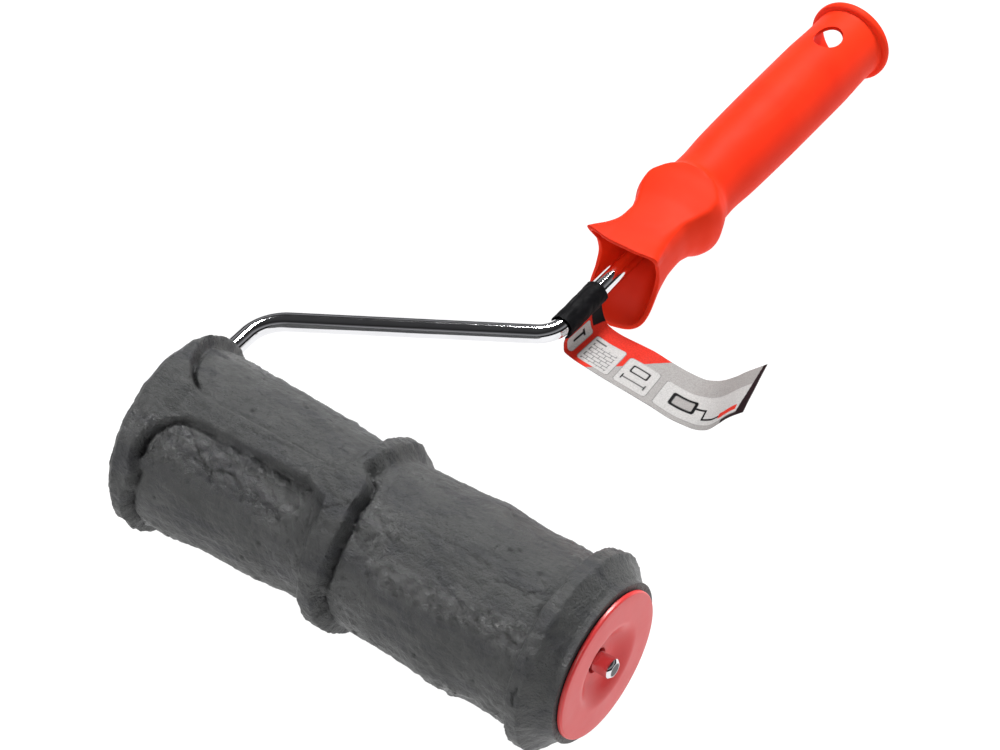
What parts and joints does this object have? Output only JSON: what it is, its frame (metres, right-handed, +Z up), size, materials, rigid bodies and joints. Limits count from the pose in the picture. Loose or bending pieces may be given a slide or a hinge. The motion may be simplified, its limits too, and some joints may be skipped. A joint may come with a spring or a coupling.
{
  "type": "texture roller",
  "caption": "Hand texture roller: stone-patterned rubber sleeve with raised joint ridges on a single-arm chromed wire frame with a moulded plastic handle.",
  "frame": {"origin": "middle of the tool's box, on the surface that it lies on", "axes": "+X along the roller's axle towards its free end, +Y along the handle away from the roller, +Z up"},
  "size_m": [0.2142, 0.3992, 0.081],
  "materials": {
    "rubber_grey": "matt moulded rubber",
    "core_plastic": "matt",
    "red_plastic": "satin moulded",
    "nylon_white": "matt",
    "spring_steel": "bare spring steel",
    "chrome": "polished",
    "label_paper": "printed coated paper"
  },
  "bodies": {
    "frame": {"frame_rod": "chrome", "handle_body": "red_plastic", "label": "label_paper", "retaining_clip": "spring_steel", "outer_thrust_washer": "spring_steel", "inner_thrust_washer": "spring_steel", "inner_stop_collar": "spring_steel"},
    "roller": {"texture_sleeve": "rubber_grey", "core_tube": "core_plastic", "outer_end_cap": "red_plastic", "inner_end_cap": "red_plastic", "outer_bearing_bush": "nylon_white", "inner_bearing_bush": "nylon_white"}
  },
  "joints": [
    {"name": "roller_spin", "type": "hinge", "parent": "frame", "child": "roller", "pos_m": [0.0039, -0.15914, 0.0405], "axis": [1, 0, 0], "continuous": true}
  ]
}
